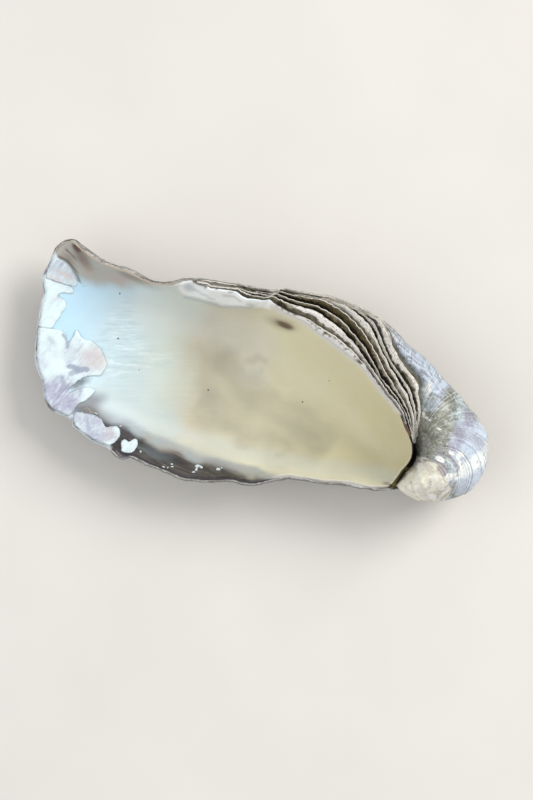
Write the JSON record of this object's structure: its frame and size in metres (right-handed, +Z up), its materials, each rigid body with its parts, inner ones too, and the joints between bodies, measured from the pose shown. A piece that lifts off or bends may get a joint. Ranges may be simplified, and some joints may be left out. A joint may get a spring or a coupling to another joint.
{
  "type": "oyster shell",
  "caption": "Cupped valve of a long oyster, empty, lying open side up, with stacked growth ledges and a curled umbo.",
  "frame": {"origin": "middle of the bounding box in plan, at the surface that the valve rests on", "axes": "+X along the valve towards the hinge and umbo, +Y towards the edge with the stacked layers, +Z up out of the hollow"},
  "size_m": [0.1242, 0.0562, 0.0272],
  "materials": {
    "shell": "smooth pale inside, chalky layered margin, ridged grey-blue outside"
  },
  "bodies": {
    "root": {"shell": "shell"}
  },
  "joints": []
}
